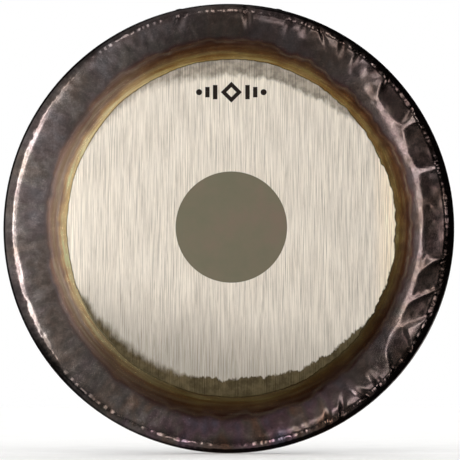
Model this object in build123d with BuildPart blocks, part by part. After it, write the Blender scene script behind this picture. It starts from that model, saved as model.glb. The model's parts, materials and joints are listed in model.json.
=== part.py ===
"""Tam-tam gong, 32 inch: one hammered plate with its rim turned back, hung by two lined holes.

The plate is a single sheet of nickel silver. Its face is nearly flat, falls away a little in the
outer band, rolls over a rounded shoulder and ends in a shallow rim that leans slightly inwards.
A rubber grommet lines each hanging hole in the rim, so that the sheet's edge can't cut the cord.

The disc's axis is Y. The struck face looks along -Y, the open back along +Y, and +Z is up as the
gong hangs. The origin is on the axis, halfway between the crown of the face and the rim's edge.
"""

import os
from math import cos, radians, sin, tan

from build123d import *

# Plate, in mm and degrees. A tilt is how far the face has turned from flat.
DIAMETER = 813.0
DEPTH = 52.0
THICKNESS = 2.2
CROWN_SHARE = 0.70  # of the radius, where the crown ends and the outer band begins
CROWN_TILT = 1.0
BAND_TILT = 8.0
SHOULDER_RADIUS = 24.0
RIM_LEAN = 3.0
EDGE_CHAMFER = 0.4

# Hanging holes in the rim, each with a grommet
HOLE_ANGLE = 13.0  # each side of the top
HOLE_RADIUS = 5.0
HOLE_TO_EDGE = 8.3  # hole centre to the rim's edge, along Y
BORE_RADIUS = 3.5
LIP_RADIUS = 7.0
LIP_THICKNESS = 1.8
LIP_ROUND = 0.8
BORE_ROUND = 0.5
GROOVE_CLEARANCE = 0.05  # radial, between the grommet and its hole
GROOVE_SLACK = 0.15  # each side of the sheet, which is curved where the lips are flat

RADIUS = DIAMETER / 2
FRONT_Y = -DEPTH / 2
BACK_Y = DEPTH / 2
CROWN_TO = CROWN_SHARE * RADIUS
BAND_TO = RADIUS - SHOULDER_RADIUS * (1 - sin(radians(BAND_TILT)))
CROWN_RADIUS = CROWN_TO / sin(radians(CROWN_TILT))
BAND_RADIUS = (BAND_TO - CROWN_TO) / (sin(radians(BAND_TILT)) - sin(radians(CROWN_TILT)))
RIM_SLOPE = tan(radians(RIM_LEAN))


def surface_line(inset):
    """One side of the plate's section, from the axis to the rim's edge, that far inside the metal.

    Returns its first point and its last.
    """
    crown = JernArc((0, FRONT_Y + inset), (1, 0), CROWN_RADIUS - inset, CROWN_TILT)
    band = JernArc(crown @ 1, crown % 1, BAND_RADIUS - inset, BAND_TILT - CROWN_TILT)
    shoulder_turn = 90 + RIM_LEAN - BAND_TILT
    shoulder = JernArc(band @ 1, band % 1, SHOULDER_RADIUS - inset, shoulder_turn)
    start = shoulder @ 1
    rim = Line(start, (start.X - (BACK_Y - start.Y) * RIM_SLOPE, BACK_Y))
    return crown @ 0, rim @ 1


def build_plate(hole_planes):
    """The gong itself: one turned section, with the hanging holes drilled through its rim."""
    with BuildPart() as plate:
        with BuildSketch():
            with BuildLine():
                outer_start, outer_end = surface_line(0)
                inner_start, inner_end = surface_line(THICKNESS)
                Line(outer_start, inner_start)
                Line(outer_end, inner_end)
            make_face()
        revolve(axis=Axis.Y)
        cut_edge = plate.faces().sort_by(Axis.Y)[-1]
        chamfer(cut_edge.edges(), EDGE_CHAMFER)
        with Locations(*hole_planes):
            Hole(HOLE_RADIUS, depth=2 * THICKNESS)
    return plate


def hole_plane(plate_section_end, angle):
    """Plane across a hanging hole at the sheet's mid-thickness, with Z along the hole, outwards."""
    lean = radians(RIM_LEAN)
    turn = radians(angle)
    outward = Vector(sin(turn), 0, cos(turn))
    across = Vector(cos(turn), 0, -sin(turn))
    normal = outward * cos(lean) + Vector(0, 1, 0) * sin(lean)
    edge_radius, edge_y = plate_section_end
    radius = edge_radius + HOLE_TO_EDGE * RIM_SLOPE
    on_surface = outward * radius + Vector(0, edge_y - HOLE_TO_EDGE, 0)
    return Plane(on_surface - normal * (THICKNESS / 2), x_dir=across, z_dir=normal)


def build_grommet(plane):
    """A rubber ring grommet: two rounded lips, and a groove for the drilled sheet."""
    groove_radius = HOLE_RADIUS - GROOVE_CLEARANCE
    groove_width = THICKNESS + 2 * GROOVE_SLACK
    length = groove_width + 2 * LIP_THICKNESS
    section = Plane(plane.origin, x_dir=plane.x_dir, z_dir=plane.x_dir.cross(plane.z_dir))
    with BuildPart() as grommet:
        with BuildSketch(section) as outline:
            with Locations((BORE_RADIUS, 0)):
                Rectangle(LIP_RADIUS - BORE_RADIUS, length, align=(Align.MIN, Align.CENTER))
            with Locations((groove_radius, 0)):
                Rectangle(
                    LIP_RADIUS - groove_radius,
                    groove_width,
                    align=(Align.MIN, Align.CENTER),
                    mode=Mode.SUBTRACT,
                )
            fillet(outline.vertices().group_by(Axis.X)[-1], LIP_ROUND)
            fillet(outline.vertices().group_by(Axis.X)[0], BORE_ROUND)
        revolve(axis=Axis(plane.origin, plane.z_dir))
    return grommet


# The rim's cut edge, at the end of the section's outer side
with BuildLine() as outer_side:
    surface_line(0)
section_end = (outer_side.vertices().sort_by(Axis.Y)[-1].X, BACK_Y)

left_hole = hole_plane(section_end, -HOLE_ANGLE)
right_hole = hole_plane(section_end, HOLE_ANGLE)

gong_plate = build_plate([left_hole, right_hole])
left_hole_grommet = build_grommet(left_hole)
right_hole_grommet = build_grommet(right_hole)

pieces = {
    "gong_plate": gong_plate,
    "left_hole_grommet": left_hole_grommet,
    "right_hole_grommet": right_hole_grommet,
}
os.makedirs("parts", exist_ok=True)
for name, piece in pieces.items():
    piece.part.label = name
    export_step(piece.part, f"parts/{name}.step")
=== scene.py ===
"""A hammered tam-tam gong in a white studio: ground bright in the middle, dark with heat round the rim.

All lengths are in metres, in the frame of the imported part: the disc's axis is Y, the struck face looks
along -Y, and +Z is up. A place on the gong is given by its distance along the sheet from the centre
and by its angle, clockwise from the top as the player sees it.
"""

import json
from math import cos, pi, radians, sin, tau

import bpy
import numpy as np
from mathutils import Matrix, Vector


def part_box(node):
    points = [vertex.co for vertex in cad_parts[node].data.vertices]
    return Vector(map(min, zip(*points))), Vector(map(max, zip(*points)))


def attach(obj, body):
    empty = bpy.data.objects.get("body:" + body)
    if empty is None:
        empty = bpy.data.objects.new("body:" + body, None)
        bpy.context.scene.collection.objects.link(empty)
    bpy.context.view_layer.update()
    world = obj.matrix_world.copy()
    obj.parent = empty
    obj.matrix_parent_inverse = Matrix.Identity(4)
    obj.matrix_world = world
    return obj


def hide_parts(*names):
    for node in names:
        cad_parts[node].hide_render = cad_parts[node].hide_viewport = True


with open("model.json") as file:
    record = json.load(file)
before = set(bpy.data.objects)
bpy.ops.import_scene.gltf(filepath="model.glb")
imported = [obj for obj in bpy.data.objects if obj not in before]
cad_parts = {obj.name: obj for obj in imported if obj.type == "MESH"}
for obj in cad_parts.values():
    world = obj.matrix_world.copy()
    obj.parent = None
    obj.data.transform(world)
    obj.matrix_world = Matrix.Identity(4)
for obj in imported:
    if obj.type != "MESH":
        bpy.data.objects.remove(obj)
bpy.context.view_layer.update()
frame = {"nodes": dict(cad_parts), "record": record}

MM = 0.001
PLATE_LOW, PLATE_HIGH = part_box("gong_plate")

# The plate's section, as the part has it
RADIUS = min(PLATE_HIGH.x, PLATE_HIGH.z, -PLATE_LOW.x, -PLATE_LOW.z)
FRONT_Y = PLATE_LOW.y
BACK_Y = PLATE_HIGH.y
THICKNESS = 2.2 * MM
CROWN_SHARE = 0.70
CROWN_TILT = radians(1.0)
BAND_TILT = radians(8.0)
SHOULDER_RADIUS = 24.0 * MM
RIM_TILT = radians(93.0)
EDGE_CHAMFER = 0.4 * MM
HOLE_RADIUS = 5.0 * MM

# Where the finish changes, measured across the face from the ground disc's own centre
FINISH_CENTRE = Vector((4.5 * MM, 0.0, -2.4 * MM))
DISC_RADIUS = 99.7 * MM
GROUND_RADIUS = 297.7 * MM
GROUND_STRETCH = 1.0144  # taller than wide by its square
BRIGHT_CENTRE = Vector((-1.5 * MM, 0.0, 1.5 * MM))
BRIGHT_HALF_WIDTH = 299.0 * MM
BRIGHT_HALF_HEIGHT = 274.0 * MM
BRIGHT_FULLNESS = 2.15  # 2 is an ellipse, more is squarer

# Where hammering left its crests and grooves on the lip, in degrees clockwise from the top
HEAVY_CRESTS = (47, 60, 74, 100, 110, 120, 130)
GROOVES = (-14, 5, 16, 21, 27.5, 33, 37.5, 43, 136, 142, 152, 147)

# The ridge at the right, past which the sheet is beaten in, and the roll over the rest of the shoulder
RIDGE_ALONG = 344.5 * MM
RIDGE_WANDER = 4.5 * MM
SWELL_DEPTH = 0.66 * MM
ROLL_DEPTH = 0.40 * MM
ROLL_WIDTH = 8 * MM

# A cell's outline: how square it is, how much it wavers, and how far in from its sides it gets deep
CELL_SQUARENESS = 3.2
CELL_WAVER = 0.13
CELL_SIDE = 10 * MM

SEED = 7


# ---------------- the sheet's shape


class Section:
    """The outer side of the plate's section, as stretches of constant curvature from the centre out."""

    def __init__(self):
        crown_to = CROWN_SHARE * RADIUS
        band_to = RADIUS - SHOULDER_RADIUS * (1 - sin(BAND_TILT))
        crown_radius = crown_to / sin(CROWN_TILT)
        band_radius = (band_to - crown_to) / (sin(BAND_TILT) - sin(CROWN_TILT))
        arcs = (
            (crown_radius, 0.0, CROWN_TILT),
            (band_radius, CROWN_TILT, BAND_TILT),
            (SHOULDER_RADIUS, BAND_TILT, RIM_TILT),
        )
        self.stretches = []
        along, radius, depth = 0.0, 0.0, FRONT_Y
        for bend, tilt_from, tilt_to in arcs:
            length = bend * (tilt_to - tilt_from)
            self.stretches.append((along, length, radius, depth, tilt_from, 1 / bend))
            along += length
            radius += bend * (sin(tilt_to) - sin(tilt_from))
            depth += bend * (cos(tilt_from) - cos(tilt_to))
        rim_length = (BACK_Y - depth) / sin(RIM_TILT)
        self.stretches.append((along, rim_length, radius, depth, RIM_TILT, 0.0))
        self.crown_end = self.stretches[1][0]
        self.band_end = self.stretches[2][0]
        self.rim_start = along
        self.end = along + rim_length

    def at(self, along):
        """Radius, depth (y) and tilt of the outer side at a distance along it."""
        for start, length, radius, depth, tilt, curvature in self.stretches:
            if along <= start + length + 1e-9:
                break
        step = along - start
        if curvature == 0.0:
            return radius + step * cos(tilt), depth + step * sin(tilt), tilt
        turned = tilt + step * curvature
        across = (sin(turned) - sin(tilt)) / curvature
        back = (cos(tilt) - cos(turned)) / curvature
        return radius + across, depth + back, turned


section = Section()


def smooth(value, low, high):
    """0 below low, 1 above high, and a soft step between them."""
    t = np.clip((value - low) / (high - low), 0.0, 1.0)
    return t * t * (3 - 2 * t)


def wave(angle, rng, slowest, fastest):
    """A smooth random curve round the circle, about -1 to 1, with that many swings per turn."""
    total = np.zeros_like(angle)
    weight = 0.0
    for count in range(slowest, fastest + 1):
        size = 1.0 / count**0.5
        total += size * np.cos(count * angle + rng.uniform(0, tau))
        weight += size * size
    return total / (weight * 1.5) ** 0.5


class Marks:
    """Hammer marks, each with a place, a half length each way, a depth and a slant round the gong."""

    def __init__(self):
        self.rows = []

    def add(self, *row):
        self.rows.append(row)

    def ring(self, rng, along, pitch, half_along, depth, scatter, overlap=1.2, slant=0.0):
        """One round of marks at uneven steps, that many radians apart and that deep on average."""
        place = rng.uniform(0, 0.2)
        last = place + tau
        while place < last - 0.4 * pitch:
            step = pitch * rng.uniform(1 - scatter, 1 + scatter)
            self.add(
                along + rng.normal(0, half_along * scatter * 0.3),
                (place + step / 2) % tau,
                half_along * rng.uniform(1 - scatter * 0.4, 1 + scatter * 0.4),
                overlap * step / 2 * along,
                depth * rng.uniform(1 - scatter, 1 + scatter),
                rng.normal(0, slant),
            )
            place += step

    def fill(self, rng, along, crests, half_along, depth, slant):
        """Wide marks that fill the gaps between crests at those angles, in degrees."""
        for start, stop in zip(crests, crests[1:]):
            self.add(
                along + rng.normal(0, 2.5 * MM),
                radians(start + stop) / 2,
                half_along,
                radians(stop - start) / 2 * along,
                depth * rng.uniform(0.85, 1.15),
                rng.normal(0, slant),
            )

    def place(self, rng, along, angles, half_along, half_round, depth, slant):
        """Narrow marks at those angles, in degrees."""
        for angle in angles:
            self.add(
                along + rng.normal(0, 2 * MM),
                radians(angle),
                half_along * rng.uniform(0.8, 1.15),
                half_round * rng.uniform(0.7, 1.4),
                depth * rng.uniform(0.8, 1.2),
                rng.normal(0, slant),
            )

    def scatter(self, rng, along_from, along_to, count, half_size, depth):
        """Stray marks anywhere in a band."""
        for _ in range(count):
            size = half_size * rng.uniform(0.6, 1.4)
            along = rng.uniform(along_from, along_to)
            place = rng.uniform(0, tau)
            width = size * rng.uniform(0.8, 1.3)
            self.add(along, place, size, width, depth * rng.uniform(0.4, 1.3), 0.0)

    def near(self, along, angle, radius, reach=1.0):
        """Each mark that reaches a ring, with the offsets in it as shares of its half lengths."""
        for centre, place, half_along, half_round, depth, slant in self.rows:
            offset = (along - centre) / half_along
            if -1.0 < offset < reach:
                turn = (angle - place - slant * offset + pi) % tau - pi
                yield offset, turn * radius / half_round, half_along, half_round, depth

    def bowls(self, along, angle, radius, softness, edge):
        """How deep round bowls are beaten. They meet in soft crests; an edge over 1 runs out softly."""
        total = np.ones_like(angle)
        for offset, across, _, _, depth in self.near(along, angle, radius):
            reach = (1.0 - offset**2 - across**2).clip(0) ** edge
            total += np.expm1(depth * reach / softness)
        return softness * np.log(total)

    def cells(self, along, angle, radius, wall):
        """How deep the lip is beaten: from an inner outline, steep at first and then less and less."""
        total = np.zeros_like(angle)
        # The outline wavers with the shoulder
        uneven = 1.0 + CELL_WAVER * np.interp(angle, WANDER_ANGLES, shoulder_wander)
        for offset, across, half_along, half_round, depth in self.near(along, angle, radius, 3.0):
            outline = (1.0 - np.abs(across) ** CELL_SQUARENESS).clip(1e-9) ** 0.5
            past = (offset + outline * uneven).clip(0, None) * half_along
            eased = np.hypot(past, wall) - wall
            share = 1.0 - (1.0 - eased / (2 * half_along - wall)).clip(0, 1) ** 1.5
            side = smooth((1.0 - np.abs(across)) * half_round, 0.0, CELL_SIDE)
            total = np.maximum(total, depth * share * side)
        return total

    def hollows(self, along, angle, radius, reach=1.0):
        """How deep dents are beaten, or grooves, which reach past 1 and run on over the shoulder."""
        total = np.zeros_like(angle)
        for offset, across, _, _, depth in self.near(along, angle, radius, reach):
            if reach == 1.0:
                share = smooth(offset, -1.0, 0.5) * smooth(offset, 1.0, 0.3)
            else:
                share = ((np.hypot(offset + 1.0, 0.3) - 0.3) / 1.4).clip(0, 1)
            side = (1.0 - across**2).clip(0) ** 2
            total = np.maximum(total, depth * share * side)
        return total


def bump_at(angle, middle, half_width):
    """1 at an angle, falling softly to 0 on both sides. The middle and half width are in degrees."""
    turn = (angle - radians(middle) + pi) % tau - pi
    return np.exp(-((turn / radians(half_width)) ** 2))


def plateau(angle, middle, half_width, soft):
    """1 within a half width of an angle, falling softly to 0 on both sides. All are in degrees."""
    turn = np.abs((angle - radians(middle) + pi) % tau - pi)
    return smooth(turn, radians(half_width + soft), radians(half_width - soft))


rng = np.random.default_rng(SEED)
WANDER_ANGLES = np.linspace(0, tau, 2881)
crest_wander = wave(WANDER_ANGLES, rng, 3, 24)
shoulder_wander = wave(WANDER_ANGLES, rng, 5, 40)

cell_marks = Marks()
cell_marks.fill(rng, 368 * MM, HEAVY_CRESTS, half_along=20 * MM, depth=2.0 * MM, slant=0.030)
groove_marks = Marks()
groove_marks.place(
    rng, 373 * MM, GROOVES, half_along=21 * MM, half_round=11.0 * MM, depth=1.1 * MM, slant=0.022
)
hollow_marks = Marks()
hollow_marks.ring(
    rng,
    362 * MM,
    pitch=26 * MM / RADIUS,
    half_along=28 * MM,
    depth=0.12 * MM,
    scatter=0.45,
    overlap=1.0,
    slant=0.020,
)
stray_marks = Marks()
stray_marks.scatter(rng, 342 * MM, 386 * MM, count=190, half_size=10 * MM, depth=0.14 * MM)
face_marks = Marks()
face_marks.scatter(rng, 20 * MM, 300 * MM, count=60, half_size=48 * MM, depth=0.10 * MM)

# Close rounds over the shoulder: how far past the band, pitch, depth and scatter
FINE_ROUNDS = (
    (9 * MM, 12.0 * MM, 0.42 * MM, 0.50),
    (17 * MM, 12.5 * MM, 0.30 * MM, 0.25),
    (25 * MM, 13.0 * MM, 0.24 * MM, 0.25),
    (33 * MM, 13.5 * MM, 0.16 * MM, 0.25),
)
fine_marks = Marks()
for past_band, pitch, depth, scatter in FINE_ROUNDS:
    fine_marks.ring(rng, section.band_end + past_band, pitch / RADIUS, 7.0 * MM, depth, scatter)

# Rounds of marks on the inner side, from the centre out, from its own draws
back_rng = np.random.default_rng(SEED + 1)
back_marks = Marks()
for back_along in np.arange(30, 372, 27) * MM:
    back_pitch = 36 * MM / back_along
    back_marks.ring(back_rng, back_along, back_pitch, half_along=21 * MM, depth=0.62 * MM, scatter=0.30)

hole_names = ("left_hanging_hole", "right_hanging_hole")
hole_mounts = [mount for mount in frame["record"]["mounts"] if mount["name"] in hole_names]


def around_holes(along, angle):
    """1 on most of the sheet, and 0 where the rim is drilled, which is left as it was turned."""
    keep = np.ones_like(angle)
    for mount in hole_mounts:
        x, y, z = mount["pos_m"]
        turn = (angle - np.arctan2(x, z) + pi) % tau - pi
        hole_along = section.end - (BACK_Y - y)
        gap = np.hypot(turn * RADIUS, along - hole_along)
        keep *= smooth(gap, 9 * MM, 16 * MM)
    return keep


def beaten_behind(along, angle):
    """How deep the inner side's own marks are, which stop at the shoulder."""
    radius, _, _ = section.at(along)
    marks = back_marks.bowls(along, angle, max(radius, 1 * MM), softness=0.10 * MM, edge=1.3)
    return marks * smooth(along, section.band_end + 2 * MM, section.band_end - 14 * MM)


def beaten(along, angle):
    """How far the sheet is beaten in from its turned shape, along a ring of angles."""
    radius, _, _ = section.at(along)
    right = bump_at(angle, middle=80, half_width=66)
    left = bump_at(angle, middle=272, half_width=36)
    ridged = plateau(angle, middle=82, half_width=37, soft=9)
    ridge = RIDGE_ALONG + RIDGE_WANDER * np.interp(angle, WANDER_ANGLES, crest_wander)
    shoulder = section.band_end
    back_out = smooth(along, shoulder + 34 * MM, shoulder + 2 * MM)
    swell = SWELL_DEPTH * ridged * smooth(along, ridge - 10 * MM, ridge + 13 * MM)
    roll = np.exp(-(((along - shoulder - 3 * MM) / ROLL_WIDTH) ** 2))
    waver = 2.2 + 0.8 * np.interp(angle, WANDER_ANGLES, shoulder_wander)
    rolled = ROLL_DEPTH * (1 - right) * waver * roll
    cells = cell_marks.cells(along, angle, radius, wall=5 * MM)
    grooves = groove_marks.hollows(along, angle, radius, reach=3.0)
    hollows = hollow_marks.hollows(along, angle, radius)
    stray = stray_marks.bowls(along, angle, radius, softness=0.10 * MM, edge=2.0)
    face = face_marks.bowls(along, angle, radius, softness=0.05 * MM, edge=2.0)
    fine = fine_marks.bowls(along, angle, radius, softness=0.04 * MM, edge=1.0) * (1 - 0.45 * left)
    lip = (swell + cells + grooves) * back_out
    return (lip + rolled + hollows + stray + face + fine) * around_holes(along, angle)


# ---------------- the plate's mesh


def spaced(start, stop, step):
    """Distances from start to stop, both included, evenly spaced at about that step."""
    count = max(1, round(abs(stop - start) / step))
    return [start + (stop - start) * i / count for i in range(count + 1)]


def ring_plan(stretches):
    """Rings as (distance along, corners), from stretches of (from, to, step, corners)."""
    plan = []
    for start, stop, step, corners in stretches:
        for along in spaced(start, stop, step):
            if not plan or abs(plan[-1][0] - along) > 0.05 * MM:
                plan.append((along, corners))
    return plan


FINE, MIDDLE, COARSE = 1080, 540, 270  # how many corners a ring has
HOLE_CORNERS = 48
SHARP_ANGLE = radians(32)

front_rings = ring_plan(
    (
        (8 * MM, 232 * MM, 12 * MM, COARSE),
        (238 * MM, 322 * MM, 6 * MM, MIDDLE),
        (325 * MM, 341 * MM, 4.0 * MM, FINE),
        (343 * MM, 359 * MM, 2.0 * MM, FINE),
        (361 * MM, section.band_end - 6 * MM, 3.2 * MM, FINE),
        (section.band_end - 6 * MM, section.band_end + 14 * MM, 1.9 * MM, FINE),
        (section.band_end + 14 * MM, section.rim_start, 2.8 * MM, FINE),
        (section.rim_start, section.end - EDGE_CHAMFER, 4.2 * MM, FINE),
    )
)
back_rings = ring_plan(
    (
        (section.end - EDGE_CHAMFER, section.rim_start, 4.2 * MM, FINE),
        (section.rim_start, section.band_end - 4 * MM, 3.0 * MM, MIDDLE),
        (section.band_end - 9 * MM, 150 * MM, 7.5 * MM, MIDDLE),
        (142 * MM, 10 * MM, 9 * MM, COARSE),
    )
)


def ring_points(along, corners, inset):
    """Corners of one ring, that far inside the sheet, and how deep the sheet is beaten at each."""
    angle = np.arange(corners) * tau / corners
    radius, depth, tilt = section.at(along)
    beat = beaten(along, angle)
    # The inner side follows the outer one, and has its own marks besides
    if inset == THICKNESS:
        marks = beaten_behind(along, angle)
        sunk = beat + inset - marks
        beat = marks
    else:
        sunk = beat + inset
    across = radius - sunk * sin(tilt)
    back = depth + sunk * cos(tilt)
    return np.column_stack((across * np.sin(angle), back, across * np.cos(angle))), beat


def joined(first, first_count, second, second_count):
    """Faces between two rings whose corner counts are equal, or one double the other."""
    faces = []
    if first_count == second_count:
        for i in range(first_count):
            j = (i + 1) % first_count
            faces.append((first + i, first + j, second + j, second + i))
    elif second_count == 2 * first_count:
        for i in range(first_count):
            j = (i + 1) % first_count
            left, middle, right = (second + k % second_count for k in (2 * i, 2 * i + 1, 2 * i + 2))
            faces += [
                (first + i, middle, left),
                (first + i, first + j, middle),
                (first + j, right, middle),
            ]
    else:
        for face in joined(second, second_count, first, first_count):
            faces.append(face[::-1])
    return faces


def build_plate():
    """The hammered sheet as one closed mesh: its outer side, its cut edge and its inner side."""
    points, relief, faces, sides = [], [], [], []
    total = 0
    previous = None

    def add_ring(coordinates, beat):
        nonlocal total
        points.append(coordinates)
        relief.append(beat)
        start = total
        total += len(coordinates)
        return start, len(coordinates)

    def connect(ring, side):
        nonlocal previous
        new = joined(*previous, *ring)
        faces.extend(new)
        sides.extend([side] * len(new))
        previous = ring

    def close(ring, apex, side, turned):
        start, count = ring
        for i in range(count):
            j = (i + 1) % count
            faces.append((apex, start + i, start + j) if turned else (apex, start + j, start + i))
            sides.append(side)

    # Outer side, from the centre to the cut edge
    apex_front, _ = add_ring(*centre_point(0.0))
    for position, (along, corners) in enumerate(front_rings):
        ring = add_ring(*ring_points(along, corners, 0.0))
        if position == 0:
            close(ring, apex_front, 0, False)
            previous = ring
        else:
            connect(ring, 0)
    # Cut edge, with its two small chamfers
    connect(add_ring(*ring_points(section.end, FINE, EDGE_CHAMFER)), 1)
    connect(add_ring(*ring_points(section.end, FINE, THICKNESS - EDGE_CHAMFER)), 1)
    # Inner side, from the cut edge back to the centre
    for along, corners in back_rings:
        connect(add_ring(*ring_points(along, corners, THICKNESS)), 1)
    apex_back, _ = add_ring(*centre_point(THICKNESS))
    close(previous, apex_back, 1, True)

    mesh = bpy.data.meshes.new("hammered_gong")
    mesh.from_pydata(np.concatenate(points).tolist(), [], faces)
    mesh.polygons.foreach_set("material_index", sides)
    shade = mesh.attributes.new("beaten", "FLOAT", "POINT")
    shade.data.foreach_set("value", np.concatenate(relief).astype(np.float32))
    mesh.shade_smooth()
    mesh.set_sharp_from_angle(angle=SHARP_ANGLE)
    mesh.validate()
    gong = bpy.data.objects.new("hammered_gong", mesh)
    bpy.context.scene.collection.objects.link(gong)
    return gong


def centre_point(inset):
    """The sheet's middle on its outer side, or that far inside it."""
    beat = beaten(0.0, np.zeros(1))
    return np.array([[0.0, FRONT_Y + beat[0] + inset, 0.0]]), beat


def drill_holes(gong):
    """Cuts the two hanging holes through the rim, where the part's mounts say they are."""
    points, faces = [], []
    for mount in hole_mounts:
        middle, along = Vector(mount["pos_m"]), Vector(mount["axis"]).normalized()
        side = along.cross(Vector((0, 1, 0))).normalized()
        other = along.cross(side)
        start = len(points)
        for end in (-1, 1):
            for i in range(HOLE_CORNERS):
                turn = tau * i / HOLE_CORNERS
                spoke = side * cos(turn) + other * sin(turn)
                points.append(middle + end * 3 * THICKNESS * along + HOLE_RADIUS * spoke)
        for i in range(HOLE_CORNERS):
            j = (i + 1) % HOLE_CORNERS
            faces.append((start + i, start + j, start + HOLE_CORNERS + j, start + HOLE_CORNERS + i))
        faces.append(tuple(start + i for i in reversed(range(HOLE_CORNERS))))
        faces.append(tuple(start + HOLE_CORNERS + i for i in range(HOLE_CORNERS)))
    cutter_mesh = bpy.data.meshes.new("drill")
    cutter_mesh.from_pydata(points, [], faces)
    cutter = bpy.data.objects.new("drill", cutter_mesh)
    bpy.context.scene.collection.objects.link(cutter)
    cut = gong.modifiers.new("holes", "BOOLEAN")
    cut.operation = "DIFFERENCE"
    cut.solver = "EXACT"
    cut.object = cutter
    with bpy.context.temp_override(object=gong, active_object=gong):
        bpy.ops.object.modifier_apply(modifier=cut.name)
    bpy.data.objects.remove(cutter)
    bpy.data.meshes.remove(cutter_mesh)


# ---------------- materials


PLAIN = (1.0, 1.0, 1.0)  # a colour factor that changes nothing


class Nodes:
    """Short calls for building a node tree. A value may be a number, a vector, a colour or a socket."""

    def __init__(self, tree):
        self.tree = tree
        self.tree.nodes.clear()

    def add(self, kind, *values, **settings):
        """A new node with those settings, and the values in its first sockets."""
        node = self.tree.nodes.new(kind)
        for name, value in settings.items():
            setattr(node, name, value)
        for value, socket in zip(values, node.inputs):
            self.feed(value, socket)
        return node

    def feed(self, value, socket):
        if isinstance(value, bpy.types.NodeSocket):
            self.tree.links.new(value, socket)
        elif socket.type == "RGBA":
            socket.default_value = (*value, 1.0)
        else:
            socket.default_value = value

    def math(self, operation, *values, clamp=False):
        return self.add("ShaderNodeMath", *values, operation=operation, use_clamp=clamp).outputs[0]

    def chain(self, operation, values):
        total, *others = values
        for value in others:
            total = self.math(operation, total, value)
        return total

    def sum(self, *values):
        return self.chain("ADD", values)

    def product(self, *values):
        return self.chain("MULTIPLY", values)

    def minus(self, first, second):
        return self.math("SUBTRACT", first, second)

    def vector(self, operation, *values):
        node = self.add("ShaderNodeVectorMath", *values, operation=operation)
        return node.outputs["Value" if operation in ("LENGTH", "DOT_PRODUCT") else "Vector"]

    def combine(self, x, y, z):
        return self.add("ShaderNodeCombineXYZ", x, y, z).outputs[0]

    def split(self, vector):
        return self.add("ShaderNodeSeparateXYZ", vector).outputs

    def noise(self, vector, scale, detail=2.0, roughness=0.5):
        """Noise from 0 to 1, mostly near the middle."""
        node = self.add("ShaderNodeTexNoise")
        inputs = {"Vector": vector, "Scale": scale, "Detail": detail, "Roughness": roughness}
        for name, value in inputs.items():
            self.feed(value, node.inputs[name])
        return node.outputs["Fac"]

    def swing(self, vector, scale, amount, detail=2.0):
        """Noise about zero, that far each way at most."""
        centred = self.minus(self.noise(vector, scale, detail), 0.5)
        return self.math("MULTIPLY", centred, 2 * amount)

    def between(self, value, low, high, to_low=0.0, to_high=1.0):
        """A soft step of the value from low to high."""
        values = (value, low, high, to_low, to_high)
        return self.add("ShaderNodeMapRange", *values, interpolation_type="SMOOTHSTEP").outputs[0]

    def within(self, value, limit, soft):
        """1 below a limit and 0 above it, with a step that is soft on both sides."""
        return self.between(value, limit - soft, limit + soft, 1.0, 0.0)

    def apart(self, first, second):
        """How far apart two numbers are."""
        return self.math("ABSOLUTE", self.minus(first, second))

    def mix(self, factor, first, second, blend="MIX"):
        node = self.add("ShaderNodeMix", data_type="RGBA", blend_type=blend)
        for value, index in ((factor, 0), (first, 6), (second, 7)):
            self.feed(value, node.inputs[index])
        return node.outputs[2]

    def times(self, colour, factor):
        """A colour multiplied by a colour or a number."""
        return self.mix(1.0, colour, factor, "MULTIPLY")

    def blend(self, factor, first, second):
        """A number between two numbers."""
        node = self.add("ShaderNodeMix", data_type="FLOAT")
        for value, index in ((factor, 0), (first, 2), (second, 3)):
            self.feed(value, node.inputs[index])
        return node.outputs[0]

    def ramp(self, value, stops):
        """A colour ramp from (position, colour) stops."""
        node = self.add("ShaderNodeValToRGB", value)
        elements = node.color_ramp.elements
        while len(elements) > 1:
            elements.remove(elements[0])
        elements[0].position = stops[0][0]
        elements[0].color = (*stops[0][1], 1.0)
        for position, colour in stops[1:]:
            elements.new(position).color = (*colour, 1.0)
        return node.outputs["Color"]

    def bump(self, height, distance, normal=None):
        node = self.add("ShaderNodeBump")
        self.feed(1.0, node.inputs["Strength"])
        self.feed(distance, node.inputs["Distance"])
        self.feed(height, node.inputs["Height"])
        if normal is not None:
            self.feed(normal, node.inputs["Normal"])
        return node.outputs["Normal"]


def new_material(name):
    """A material with an empty node tree, its Nodes and its shader already joined to the output."""
    material = bpy.data.materials.new(name)
    material.use_nodes = True
    nodes = Nodes(material.node_tree)
    shader = nodes.add("ShaderNodeBsdfPrincipled")
    nodes.add("ShaderNodeOutputMaterial", shader.outputs["BSDF"])
    return material, nodes, shader


class Place:
    """Where a point lies on the gong, as sockets, mostly measured from the finish's centre."""

    def __init__(self, nodes):
        self.position = nodes.add("ShaderNodeTexCoord").outputs["Object"]
        centred = nodes.vector("SUBTRACT", self.position, FINISH_CENTRE)
        self.x, _, self.z = nodes.split(centred)
        self.radius = nodes.vector("LENGTH", nodes.combine(self.x, 0.0, self.z))
        wide = nodes.product(self.x, GROUND_STRETCH)
        tall = nodes.math("DIVIDE", self.z, GROUND_STRETCH)
        self.ground_radius = nodes.vector("LENGTH", nodes.combine(wide, 0.0, tall))
        self.spoke = nodes.vector("NORMALIZE", nodes.combine(self.x, 0.0, self.z))
        self.beaten = nodes.add("ShaderNodeAttribute", attribute_name="beaten").outputs["Fac"]
        # Noise read from here changes slowly along the radius, so it runs in radial streaks
        rise = nodes.product(self.radius, 1.6)
        self.spoke_x, _, self.spoke_z = nodes.split(self.spoke)
        self.streaks = nodes.combine(self.spoke_x, rise, self.spoke_z)


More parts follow.
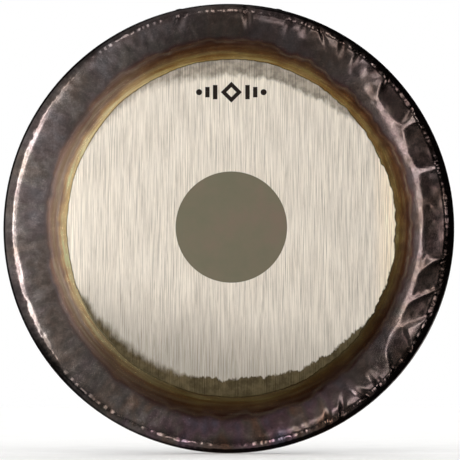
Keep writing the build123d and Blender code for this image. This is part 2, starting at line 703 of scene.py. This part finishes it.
# Stops of the colour ramps. The heat tint's run from the ground face out to the scale.
SCALE_STOPS = (
    (0.30, (0.088, 0.065, 0.058)),
    (0.50, (0.120, 0.093, 0.084)),
    (0.70, (0.152, 0.123, 0.114)),
)
SHEEN_STOPS = (
    (0.30, (0.36, 0.46, 0.86)),
    (0.41, (0.74, 0.46, 0.72)),
    (0.50, (0.60, 0.57, 0.56)),
    (0.59, (0.92, 0.54, 0.34)),
    (0.70, (0.46, 0.66, 0.48)),
)
DEEP_TINT_STOPS = (
    (0.00, (0.370, 0.265, 0.115)),
    (0.18, (0.285, 0.180, 0.062)),
    (0.34, (0.235, 0.135, 0.058)),
    (0.48, (0.175, 0.088, 0.042)),
    (0.66, (0.120, 0.052, 0.036)),
    (0.80, (0.100, 0.048, 0.044)),
    (1.00, (0.115, 0.086, 0.082)),
)
# The pale run is the heat tint with a painted sheen, used at the left where the light falls
LIT_PALE_TINT_STOPS = (
    (0.00, (0.97, 0.80, 0.47)),
    (0.15, (0.97, 0.75, 0.41)),
    (0.26, (0.74, 0.50, 0.290)),
    (0.37, (0.49, 0.345, 0.265)),
    (0.52, (0.43, 0.315, 0.215)),
    (0.66, (0.36, 0.235, 0.185)),
    (0.84, (0.165, 0.124, 0.118)),
    (1.00, (0.130, 0.105, 0.100)),
)
SILVER_STOPS = (
    (0.38, (0.445, 0.392, 0.318)),
    (0.49, (0.755, 0.678, 0.575)),
    (0.59, (0.905, 0.832, 0.728)),
)
DISC_STOPS = (
    (0.35, (0.215, 0.200, 0.138)),
    (0.52, (0.235, 0.205, 0.145)),
    (0.66, (0.255, 0.200, 0.150)),
)


def scale_colour(nodes, place):
    """Colour of the dark scale that the fire leaves, mottled and speckled."""
    cloud = nodes.noise(place.position, 30.0, 4.0, 0.6)
    speck = nodes.noise(place.position, 420.0, 3.0, 0.6)
    return nodes.times(nodes.ramp(cloud, SCALE_STOPS), nodes.between(speck, 0.35, 0.65, 0.84, 1.14))


def struck_scale(nodes, place):
    """The scale on the struck side: wiped radially, iridescent at the bottom, and greyer at the left as
    a painted tint of the light reflected there.
    """
    base = scale_colour(nodes, place)
    hue = nodes.noise(place.streaks, 6.0, 2.0, 0.6)
    colourful = nodes.between(place.spoke_z, -0.98, -0.75, 0.55, 0.12)
    tinted = nodes.mix(colourful, base, nodes.ramp(hue, SHEEN_STOPS), "SOFT_LIGHT")
    # Greyer at the left, a painted tint that makes the light reflected there come out grey; wispier at
    # the left, and lighter at the bottom
    left = nodes.between(place.spoke_x, 0.3, -0.6)
    painted_grey = nodes.mix(left, PLAIN, (0.94, 1.035, 1.055))
    tinted = nodes.times(tinted, painted_grey)
    wisp = nodes.between(nodes.noise(place.streaks, 26.0, 4.0, 0.6), 0.36, 0.64, -0.20, 0.24)
    wisp = nodes.math("MULTIPLY_ADD", wisp, nodes.blend(left, 0.3, 1.0), 1.0)
    tinted = nodes.times(tinted, wisp)
    lower = nodes.between(place.spoke_z, -0.75, -0.98, 1.0, 1.6)
    return nodes.times(tinted, lower)


def heat_tint(nodes, place, into):
    """Colours between the ground face and the scale, by how far into the band a point is, 0 to 1, with a
    painted sheen at the left.
    """
    deep = nodes.ramp(into, DEEP_TINT_STOPS)
    lit_pale = nodes.ramp(into, LIT_PALE_TINT_STOPS)
    # A paler line that wavers round the ring, and arcs where the flame passed
    line_at = nodes.sum(into, nodes.swing(place.spoke, 7.0, 0.22))
    line = nodes.between(nodes.apart(line_at, 0.70), 0.0, 0.12, 0.50, 0.0)
    deep = nodes.mix(line, deep, (0.27, 0.195, 0.135))
    rounds = nodes.combine(place.spoke_x, nodes.product(place.radius, 55.0), place.spoke_z)
    streak = nodes.between(nodes.noise(rounds, 3.2, 3.0, 0.6), 0.34, 0.66)
    deep = nodes.times(deep, nodes.mix(streak, (0.84, 0.70, 0.60), (1.20, 1.32, 1.38)))
    lit_pale = nodes.times(lit_pale, nodes.mix(streak, (0.88, 0.80, 0.74), (1.08, 1.14, 1.18)))
    # Darker at the bottom, a little at the top, and at the lower right
    lower_right = nodes.vector("DOT_PRODUCT", place.spoke, (0.75, 0.0, -0.66))
    darkened = nodes.product(
        nodes.between(place.spoke_z, -0.75, 0.35, 0.60, 1.0),
        nodes.between(place.spoke_z, 0.6, 1.0, 1.0, 0.82),
        nodes.between(lower_right, 0.75, 1.0, 1.0, 0.72),
    )
    darkened = nodes.blend(nodes.between(into, 0.6, 1.0), darkened, 1.0)
    deep = nodes.times(deep, darkened)
    # Paler at the left, though less so at its top and bottom: a painted sheen of the light from the
    # left, laid over the tint's own colours
    left = nodes.product(place.spoke_x, -1.0)
    left = nodes.sum(left, nodes.swing(place.spoke, 3.0, 0.25))
    lit_pale = nodes.times(lit_pale, nodes.between(place.spoke_z, -0.85, -0.30, 0.48, 1.0))
    lit_pale = nodes.times(lit_pale, nodes.between(place.spoke_z, 0.3, 0.8, 1.0, 0.86))
    return nodes.mix(nodes.between(left, 0.25, 1.0), deep, lit_pale)


# A printed ornament: its height above the centre, and sizes from its own middle
ORNAMENT_UP = 243 * MM
LOZENGE_REACH = 19 * MM
LOZENGE_HOLLOW = 9 * MM
BARS = ((29 * MM, 4.0 * MM, 13 * MM), (43 * MM, 4.0 * MM, 9.5 * MM))  # offset, half width, half height
DOT_OFFSET = 58 * MM
DOT_RADIUS = 5.5 * MM
INK_EDGE = 0.3 * MM
BAR_EDGE = 0.25 * MM


def bar(nodes, x, z, half_width, half_height):
    """Ink mask of a plain bar about x = z = 0."""
    across = nodes.within(nodes.math("ABSOLUTE", x), half_width, BAR_EDGE)
    up = nodes.within(nodes.math("ABSOLUTE", z), half_height, BAR_EDGE)
    return nodes.product(across, up)


def ornament(nodes, place):
    """Ink mask of a small printed ornament: a lozenge between bars and dots."""
    x = nodes.math("ABSOLUTE", place.x)
    z = nodes.minus(place.z, ORNAMENT_UP)
    lozenge_at = nodes.sum(x, nodes.math("ABSOLUTE", z))
    lozenge = nodes.within(lozenge_at, LOZENGE_REACH, INK_EDGE)
    hollow = nodes.between(lozenge_at, LOZENGE_HOLLOW - INK_EDGE, LOZENGE_HOLLOW + INK_EDGE)
    ink = nodes.product(lozenge, hollow)
    for offset, half_width, half_height in BARS:
        shifted = nodes.minus(x, offset)
        ink = nodes.math("MAXIMUM", ink, bar(nodes, shifted, z, half_width, half_height))
    dot_x = nodes.minus(x, DOT_OFFSET)
    dot_at = nodes.vector("LENGTH", nodes.combine(dot_x, z, 0.0))
    return nodes.math("MAXIMUM", ink, nodes.within(dot_at, DOT_RADIUS, INK_EDGE))


# How fast the noise of the brushing and the torn edge changes along x, y and z, per metre
HAIR_SCALE = (1200.0, 0.0, 13.0)
STRAND_SCALE = (900.0, 0.0, 60.0)
START_SCALE = (330.0, 0.0, 0.0)
TORN_SCALE = (120.0, 0.0, 45.0)
HAIR_SHARE = 0.62  # of the brushing's height


def vertical_brushing(nodes, place):
    """Fine vertical strokes, 0 to 1: noise drawn out along z, each hair started at its own height."""
    start = nodes.swing(nodes.vector("MULTIPLY", place.position, START_SCALE), 1.0, 0.30)
    staggered = nodes.vector("ADD", place.position, nodes.combine(0.0, 0.0, start))
    hair = nodes.noise(nodes.vector("MULTIPLY", staggered, HAIR_SCALE), 1.0, 0.0, 0.5)
    strand = nodes.noise(nodes.vector("MULTIPLY", staggered, STRAND_SCALE), 1.0, 1.0, 0.6)
    return nodes.sum(nodes.product(hair, HAIR_SHARE), nodes.product(strand, 1 - HAIR_SHARE))


def bright_ground(nodes, place):
    """Mask of the bright ground: a full ellipse whose edge ends in strokes torn up and down."""
    across = nodes.math("DIVIDE", nodes.minus(place.x, BRIGHT_CENTRE.x), BRIGHT_HALF_WIDTH)
    up = nodes.math("DIVIDE", nodes.minus(place.z, BRIGHT_CENTRE.z), BRIGHT_HALF_HEIGHT)
    sizes = (nodes.math("ABSOLUTE", share) for share in (across, up))
    powers = (nodes.math("POWER", size, BRIGHT_FULLNESS) for size in sizes)
    reach = nodes.math("POWER", nodes.sum(*powers), 1 / BRIGHT_FULLNESS)
    # It falls short at the lower left, and a little at the lower right and the upper right
    short_below = nodes.product(
        nodes.minus(0.034, nodes.product(across, 0.028)),
        nodes.math("ABSOLUTE", across),
        nodes.between(up, -0.25, -0.65),
    )
    short_above = nodes.product(
        nodes.between(nodes.apart(across, 0.5), 0.14, 0.30, 0.036, 0.0),
        nodes.between(up, 0.4, 0.7),
    )
    wander = nodes.swing(place.position, 22.0, 0.040)
    torn = nodes.noise(nodes.vector("MULTIPLY", place.position, TORN_SCALE), 1.0, 4.0, 0.6)
    torn = nodes.product(nodes.minus(torn, 0.5), 0.085)
    reach = nodes.sum(reach, short_below, short_above, wander, torn)
    # Its edge is hard at the lower right, and fades out at the upper left and the lower left
    upper_left = nodes.between(across, 0.10, -0.35, 0.35, 1.0)
    upper_left = nodes.product(nodes.between(up, 0.3, 0.6), upper_left)
    lower_left = nodes.product(nodes.between(up, -0.2, -0.6), nodes.between(across, -0.1, -0.5))
    fade = nodes.math("MULTIPLY_ADD", nodes.sum(upper_left, lower_left), 0.030, 0.007)
    return nodes.between(reach, nodes.minus(0.999, fade), nodes.sum(1.0, fade), 1.0, 0.0)


def ground_distance(nodes, place):
    """Distance from the centre, shifted so that the first grinding ends where it is GROUND_RADIUS."""
    wander = nodes.swing(place.position, 13.0, 3 * MM)
    nicks = nodes.swing(place.position, 120.0, 0.9 * MM)
    # Rough at the right, and a little short at the upper right
    rough = nodes.swing(place.position, 50.0, 5 * MM)
    rough = nodes.product(rough, nodes.between(place.spoke_x, 0.1, 0.7))
    upper_right = nodes.vector("DOT_PRODUCT", place.spoke, (0.707, 0.0, 0.707))
    short = nodes.between(upper_right, 0.85, 1.0, 0.0, 2.0 * MM)
    return nodes.sum(place.ground_radius, wander, nicks, rough, short)


def silver_colour(nodes, place, brushing):
    """Bright nickel silver, striped by its brushing, with painted shade at the lower left and painted
    highlights at the sides.
    """
    patch = nodes.noise(place.position, 16.0, 3.0, 0.55)
    silver = nodes.ramp(brushing, SILVER_STOPS)
    silver = nodes.mix(nodes.between(patch, 0.35, 0.65, 0.0, 0.12), silver, (0.52, 0.49, 0.44))
    # Painted shade: the silver is darkened towards the lower left, away from the light above
    shaded_low_left = nodes.sum(place.z, nodes.product(place.x, 0.25))
    silver = nodes.times(silver, nodes.between(shaded_low_left, -280 * MM, -110 * MM, 0.60, 1.0))
    # Painted highlights: the silver is made brighter towards its right and left edges, where the side
    # lights catch it
    highlight_right = nodes.between(place.x, 245 * MM, 290 * MM)
    silver = nodes.times(silver, nodes.mix(highlight_right, PLAIN, (1.26, 1.17, 1.05)))
    highlight_left = nodes.between(place.x, -245 * MM, -290 * MM)
    return nodes.times(silver, nodes.mix(highlight_left, PLAIN, (1.12, 1.12, 1.12)))


def half_ground_colour(nodes, place, brushing):
    """Metal that only the first grinding reached: grey at the top, brown at the bottom, blotched."""
    height = nodes.between(place.z, -120 * MM, 160 * MM)
    colour = nodes.mix(height, (0.088, 0.068, 0.036), (0.32, 0.278, 0.226))
    colour = nodes.times(colour, nodes.between(brushing, 0.35, 0.65, 0.62, 1.35))
    blotch = nodes.noise(place.position, 70.0, 4.0, 0.65)
    return nodes.times(colour, nodes.between(blotch, 0.32, 0.68, 0.74, 1.30))


def band_colour(nodes, place, ground_at):
    """The outer band: a thin dark line, then heat tint that is wider in some places, then scale."""
    width = nodes.sum(
        nodes.between(place.spoke_x, -0.4, 0.9, 50 * MM, 38 * MM),
        nodes.swing(place.spoke, 1.7, 9 * MM),
    )
    uneven = nodes.sum(ground_at, nodes.swing(place.streaks, 8.0, 11 * MM))
    into = nodes.math("DIVIDE", nodes.minus(uneven, GROUND_RADIUS), width, clamp=True)
    tint = heat_tint(nodes, place, into)
    band = nodes.mix(nodes.between(into, 0.72, 1.0), tint, struck_scale(nodes, place))
    past = nodes.minus(ground_at, GROUND_RADIUS)
    band = nodes.times(band, nodes.between(past, 0.8 * MM, 2.6 * MM, 0.45, 1.0))
    # Crests between the hammer marks are rubbed a little brighter than their hollows
    hollow = nodes.between(place.beaten, 0.1 * MM, 1.6 * MM)
    return nodes.times(band, nodes.mix(hollow, (1.10, 1.10, 1.10), (0.82, 0.76, 0.74)))


def disc_colour(nodes, place):
    """The untouched disc in the middle: clouded, and a little darker at its edge."""
    cloud = nodes.noise(place.position, 15.0, 6.0, 0.68)
    edge = nodes.between(place.radius, DISC_RADIUS - 3 * MM, DISC_RADIUS, 1.0, 0.86)
    return nodes.times(nodes.ramp(cloud, DISC_STOPS), edge)


def struck_face():
    """The struck face: ground and brushed in the middle, heat-tinted further out, dark at the rim."""
    material, nodes, shader = new_material("struck_face")
    place = Place(nodes)
    brushing = vertical_brushing(nodes, place)
    ground_at = ground_distance(nodes, place)
    ground = nodes.within(ground_at, GROUND_RADIUS, 0.8 * MM)
    bright = nodes.product(bright_ground(nodes, place), ground)
    in_disc = nodes.within(place.radius, DISC_RADIUS, 0.5 * MM)
    ink = ornament(nodes, place)

    band = band_colour(nodes, place, ground_at)
    face = nodes.mix(ground, band, half_ground_colour(nodes, place, brushing))
    face = nodes.mix(bright, face, silver_colour(nodes, place, brushing))
    face = nodes.mix(in_disc, face, disc_colour(nodes, place))
    nodes.feed(nodes.mix(ink, face, (0.020, 0.015, 0.013)), shader.inputs["Base Color"])
    nodes.feed(1.0, shader.inputs["Metallic"])

    brushed_area = nodes.product(ground, nodes.minus(1.0, in_disc))
    mottle = nodes.noise(place.position, 55.0, 4.0, 0.6)
    scale_roughness = nodes.between(mottle, 0.3, 0.7, 0.10, 0.17)
    brushed_roughness = nodes.between(brushing, 0.3, 0.7, 0.34, 0.50)
    roughness = nodes.blend(brushed_area, scale_roughness, brushed_roughness)
    roughness = nodes.blend(in_disc, roughness, 0.55)
    roughness = nodes.blend(ink, roughness, 0.45)
    nodes.feed(roughness, shader.inputs["Roughness"])
    nodes.feed(nodes.product(brushed_area, 0.6), shader.inputs["Anisotropic"])
    nodes.feed(nodes.combine(1.0, 0.0, 0.0), shader.inputs["Tangent"])

    # Relief too fine for the mesh: brushing on the ground face, pitting on the scale
    lines = nodes.bump(nodes.product(brushing, brushed_area), 0.12 * MM)
    pits = nodes.noise(place.position, 260.0, 2.0, 0.5)
    pits = nodes.product(pits, nodes.minus(1.0, ground))
    nodes.feed(nodes.bump(pits, 0.03 * MM, lines), shader.inputs["Normal"])
    return material


def dark_back():
    """The inner side, left as it came from the fire: brown-black scale, worn to the metal in spots."""
    material, nodes, shader = new_material("dark_back")
    place = Place(nodes)
    cloud = nodes.between(nodes.noise(place.position, 7.0, 5.0, 0.62), 0.38, 0.66, 0.0, 0.40)
    colour = nodes.mix(cloud, scale_colour(nodes, place), (0.24, 0.160, 0.100))
    bare = nodes.between(nodes.noise(place.position, 60.0, 3.0, 0.7), 0.60, 0.70)
    colour = nodes.mix(nodes.product(bare, 0.35), colour, (0.34, 0.235, 0.140))
    # Darker towards the rim on the inner side
    near_rim = nodes.between(place.radius, 350 * MM, 395 * MM)
    colour = nodes.mix(nodes.product(near_rim, 0.5), colour, (0.060, 0.045, 0.040))
    # Hollows hold more scale than the crests between them
    rubbed = nodes.between(place.beaten, 0.0, 0.7 * MM, 1.30, 0.80)
    nodes.feed(nodes.times(colour, rubbed), shader.inputs["Base Color"])
    nodes.feed(1.0, shader.inputs["Metallic"])
    mottle = nodes.noise(place.position, 55.0, 4.0, 0.6)
    nodes.feed(nodes.between(mottle, 0.3, 0.7, 0.22, 0.38), shader.inputs["Roughness"])
    pits = nodes.noise(place.position, 240.0, 4.0, 0.6)
    nodes.feed(nodes.bump(pits, 0.16 * MM), shader.inputs["Normal"])
    return material


def black_rubber():
    """Moulded rubber: nearly black, matt, with a faint bloom and a fine grain."""
    material, nodes, shader = new_material("black_rubber")
    position = nodes.add("ShaderNodeTexCoord").outputs["Object"]
    bloom = nodes.noise(position, 300.0, 3.0, 0.6)
    colour = nodes.ramp(bloom, ((0.35, (0.018, 0.018, 0.019)), (0.7, (0.042, 0.041, 0.040))))
    nodes.feed(colour, shader.inputs["Base Color"])
    nodes.feed(nodes.between(bloom, 0.3, 0.7, 0.62, 0.82), shader.inputs["Roughness"])
    grain = nodes.noise(position, 2600.0, 2.0, 0.5)
    nodes.feed(nodes.bump(grain, 0.03 * MM), shader.inputs["Normal"])
    return material


def white_floor():
    """Seamless white paper, with the least unevenness."""
    material, nodes, shader = new_material("white_paper")
    position = nodes.add("ShaderNodeTexCoord").outputs["Object"]
    fibre = nodes.noise(position, 12.0, 3.0, 0.5)
    colour = nodes.ramp(fibre, ((0.3, (0.90, 0.90, 0.90)), (0.7, (0.94, 0.94, 0.94))))
    nodes.feed(colour, shader.inputs["Base Color"])
    nodes.feed(0.9, shader.inputs["Roughness"])
    return material


# ---------------- the studio

CAMERA_DISTANCE = 4.0
CAMERA_ELEVATION = radians(-4.3)
SENSOR = 36.0
GONG_SHARE = 0.9821  # of the frame's width
SHIFT_X, SHIFT_Y = 0.0025, -0.0071
# Where a flat mirror in the gong's plane would send the line of sight, and the way up from there
MIRROR_AXIS = (0.0, -cos(CAMERA_ELEVATION), -sin(CAMERA_ELEVATION))
MIRROR_UP = (0.0, sin(-CAMERA_ELEVATION), cos(CAMERA_ELEVATION))

# Soft panels round the gong: azimuth and elevation of the middle, half width and half height, softness
# of the edge each way (all in degrees), strength. Azimuth 0 is in front, and + is at the right.
PANELS = {
    "front": (-8, 12, 34, 42, 12, 20, 0.20),
    "reflector": (0, 8, 5, 4, 3, 4, 1.42),
    "left_wall": (-62, 12, 50, 28, 10, 22, 0.86),
    "left_window": (-32, 6, 3.0, 19, 1.6, 6, 11.5),
    "ceiling": (-70, 80, 120, 22, 40, 14, 0.30),
    "below": (-45, -59, 88, 18, 30, 8, 0.28),
    "behind": (168, -15, 28, 9, 10, 6, 1.1),
}
# Curved lamps about the mirrored line of sight: degrees off it, half width and softness, then the angle
# round it, half spread and softness of that, strength
ARCS = {
    "right_arc": (20.4, 1.4, 0.7, 86, 38, 5, 6.0),
    "right_glow": (14.6, 1.8, 2.2, 80, 28, 8, 0.62),
    "upper_arc": (25.5, 2.0, 1.5, 25, 16, 8, 2.4),
    "lower_arc": (25.5, 2.0, 1.2, 148, 15, 7, 2.4),
}
# A ring of small lamps about the same line: degrees off it, half width, how many, and strength
LAMP_RING = (48, 7.0, 13, 4.2)
LAMP_EDGE = (0.50, 0.95)  # of the cosine that parts the lamps
LAMP_GAP = (-88, 45, 12)  # where it stops for the window: middle, half spread and softness
BASE_LIGHT = 0.012
MATT_LIGHT = 1.20  # what lights the matt surfaces, the same from all round
FLOOR_HALF = 14.0
FLOOR_CELLS = 8


def add_panels(nodes, light, direction):
    """Adds the soft panels to the light from a direction."""
    x, y, z = nodes.split(direction)
    azimuth = nodes.math("DEGREES", nodes.math("ARCTAN2", x, nodes.product(y, -1.0)))
    elevation = nodes.math("DEGREES", nodes.math("ARCSINE", z))
    for panel in PANELS.values():
        at_azimuth, at_elevation, half_width, half_height, soft_wide, soft_high, strength = panel
        turn = nodes.math("WRAP", nodes.minus(azimuth, at_azimuth), 180.0, -180.0)
        mask = nodes.product(
            nodes.within(nodes.math("ABSOLUTE", turn), half_width, soft_wide),
            nodes.within(nodes.apart(elevation, at_elevation), half_height, soft_high),
        )
        light = nodes.sum(light, nodes.product(mask, strength))
    return light


def add_lamps(nodes, light, direction):
    """Adds the lamps that stand round the mirrored line of sight."""
    x, _, _ = nodes.split(direction)
    tilted = nodes.vector("DOT_PRODUCT", direction, MIRROR_AXIS)
    off_axis = nodes.math("DEGREES", nodes.math("ARCCOSINE", tilted))
    upward = nodes.vector("DOT_PRODUCT", direction, MIRROR_UP)
    clock = nodes.math("DEGREES", nodes.math("ARCTAN2", x, upward))
    for at_off, half_width, soft, at_clock, half_spread, soft_round, strength in ARCS.values():
        mask = nodes.product(
            nodes.within(nodes.apart(off_axis, at_off), half_width, soft),
            nodes.within(nodes.apart(clock, at_clock), half_spread, soft_round),
        )
        light = nodes.sum(light, nodes.product(mask, strength))
    ring_off, half_width, count, strength = LAMP_RING
    out = nodes.apart(off_axis, ring_off)
    beat = nodes.math("COSINE", nodes.product(clock, radians(count)))
    gap_at, half_spread, soft_round = LAMP_GAP
    aside = nodes.apart(clock, gap_at)
    lamps = nodes.product(
        nodes.between(out, 0.4 * half_width, half_width, 1.0, 0.0),
        nodes.between(beat, *LAMP_EDGE),
        nodes.between(aside, half_spread - soft_round, half_spread + soft_round),
    )
    return nodes.sum(light, nodes.product(lamps, strength))


def studio_world():
    """White for the camera and for matt surfaces, and a dark room with soft panels for metal."""
    world = bpy.data.worlds.new("studio")
    world.use_nodes = True
    world.cycles.sampling_method = "NONE"
    bpy.context.scene.world = world
    nodes = Nodes(world.node_tree)
    direction = nodes.add("ShaderNodeTexCoord").outputs["Generated"]
    light = add_panels(nodes, BASE_LIGHT, direction)
    light = add_lamps(nodes, light, direction)
    paths = nodes.add("ShaderNodeLightPath")
    strength = nodes.blend(paths.outputs["Is Glossy Ray"], MATT_LIGHT, light)
    studio = nodes.add("ShaderNodeBackground", (1.0, 0.995, 0.985), strength).outputs[0]
    white = nodes.add("ShaderNodeBackground", (1.0, 1.0, 1.0)).outputs[0]
    shown = nodes.add("ShaderNodeMixShader", paths.outputs["Is Camera Ray"], studio, white)
    nodes.add("ShaderNodeOutputWorld", shown.outputs[0])


def studio_floor(height):
    """A wide sheet of white paper under the gong, flat and open all round."""
    places = np.linspace(-FLOOR_HALF, FLOOR_HALF, FLOOR_CELLS + 1).tolist()
    points = [(x, y, height) for y in places for x in places]
    faces = []
    for row in range(FLOOR_CELLS):
        for column in range(FLOOR_CELLS):
            corner = row * len(places) + column
            faces.append((corner, corner + 1, corner + len(places) + 1, corner + len(places)))
    mesh = bpy.data.meshes.new("studio_floor")
    mesh.from_pydata(points, [], faces)
    mesh.shade_smooth()
    mesh.materials.append(white_floor())
    floor = bpy.data.objects.new("studio_floor", mesh)
    bpy.context.scene.collection.objects.link(floor)
    floor.visible_glossy = False


def studio_camera():
    """Square to the face and a little below its middle, framed so that the gong fills the picture."""
    data = bpy.data.cameras.new("camera")
    camera = bpy.data.objects.new("camera", data)
    bpy.context.scene.collection.objects.link(camera)
    bpy.context.scene.camera = camera
    data.sensor_width = SENSOR
    data.lens = SENSOR * GONG_SHARE * CAMERA_DISTANCE / (2 * RADIUS)
    data.shift_x, data.shift_y = SHIFT_X, SHIFT_Y
    camera.location = CAMERA_DISTANCE * Vector((0.0, -cos(CAMERA_ELEVATION), sin(CAMERA_ELEVATION)))
    camera.rotation_euler = (-camera.location).to_track_quat("-Z", "Y").to_euler()


# ---------------- putting it together

gong = build_plate()
drill_holes(gong)
gong.data.materials.append(struck_face())
gong.data.materials.append(dark_back())
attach(gong, "root")
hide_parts("gong_plate")

rubber = black_rubber()
for name in ("left_hole_grommet", "right_hole_grommet"):
    grommet = frame["nodes"][name]
    for material_slot in grommet.material_slots:
        material_slot.material = rubber

studio_world()
studio_floor(min((gong.matrix_world @ vertex.co).z for vertex in gong.data.vertices))
studio_camera()
bpy.context.scene.view_settings.view_transform = "Standard"
